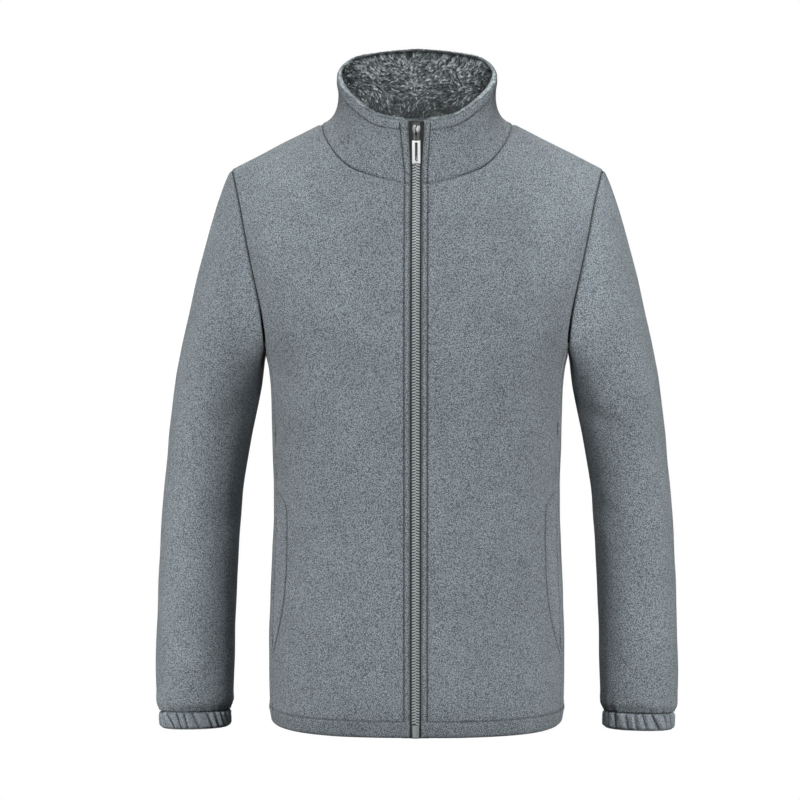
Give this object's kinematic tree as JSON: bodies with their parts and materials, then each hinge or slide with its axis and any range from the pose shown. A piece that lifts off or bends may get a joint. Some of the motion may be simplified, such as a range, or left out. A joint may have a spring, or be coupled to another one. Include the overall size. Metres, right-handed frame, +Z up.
{
  "type": "fleece zip jacket",
  "caption": "Fleece jacket with a full front zip, plush-lined stand collar, set-in sleeves with elastic cuffs and slanted side pockets, held open in worn shape.",
  "frame": {"origin": "midway between the neck points of the two shoulder seams, where the wearer's shoulders carry the jacket", "axes": "+Z up towards the collar, the front with the zip faces -Y, +X is the wearer's left"},
  "size_m": [0.6018, 0.2502, 0.7879],
  "materials": {
    "fleece": "fine pebbled grey fleece",
    "plush": "long soft pile, grey",
    "tape": "woven zip tape, dark grey",
    "teeth": "moulded, satin",
    "slider": "black enamel",
    "pull": "satin nickel"
  },
  "bodies": {
    "jacket": {"front_left": "fleece", "front_right": "fleece", "back": "fleece", "sleeve_left": "fleece", "sleeve_right": "fleece", "cuff_left": "fleece", "cuff_right": "fleece", "collar": "fleece", "collar_lining": "plush", "pocket_facing_left": "fleece", "pocket_facing_right": "fleece", "zip_tape_left": "tape", "zip_tape_right": "tape", "zip_chain": "teeth", "zip_box": "teeth", "zip_slider": "slider"},
    "pull_tab": {"zip_pull": "pull"}
  },
  "joints": [
    {"name": "pull_hinge", "type": "hinge", "parent": "jacket", "child": "pull_tab", "pos_m": [0, -0.08025, -0.01044], "axis": [-1, 0, 0], "range_deg": [0, 160]}
  ]
}
